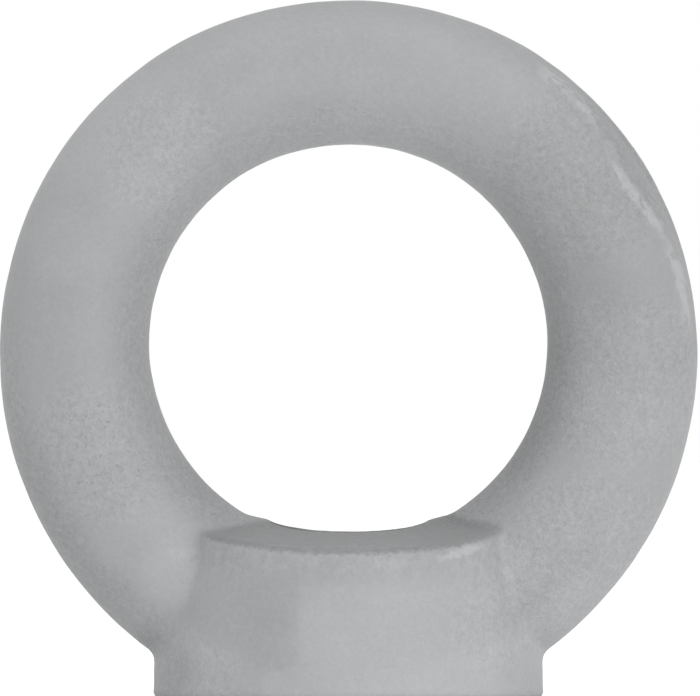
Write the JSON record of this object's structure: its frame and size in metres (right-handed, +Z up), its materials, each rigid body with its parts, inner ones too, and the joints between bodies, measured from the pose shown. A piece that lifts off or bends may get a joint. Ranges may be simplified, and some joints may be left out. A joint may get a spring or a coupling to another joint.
{
  "type": "lifting eye nut",
  "caption": "Forged lifting eye nut: a round ring rises from a tapered round collar that is bored and threaded from its flat underside through to the eye.",
  "frame": {"origin": "centre of the flat underside, on the thread's axis", "axes": "+Z up the thread's axis to the crown of the ring, X across the ring, Y through the eye"},
  "size_m": [0.036, 0.02, 0.036],
  "materials": {
    "body": "blasted matt grey zinc"
  },
  "bodies": {
    "root": {"lifting_eye_nut": "body"}
  },
  "joints": []
}
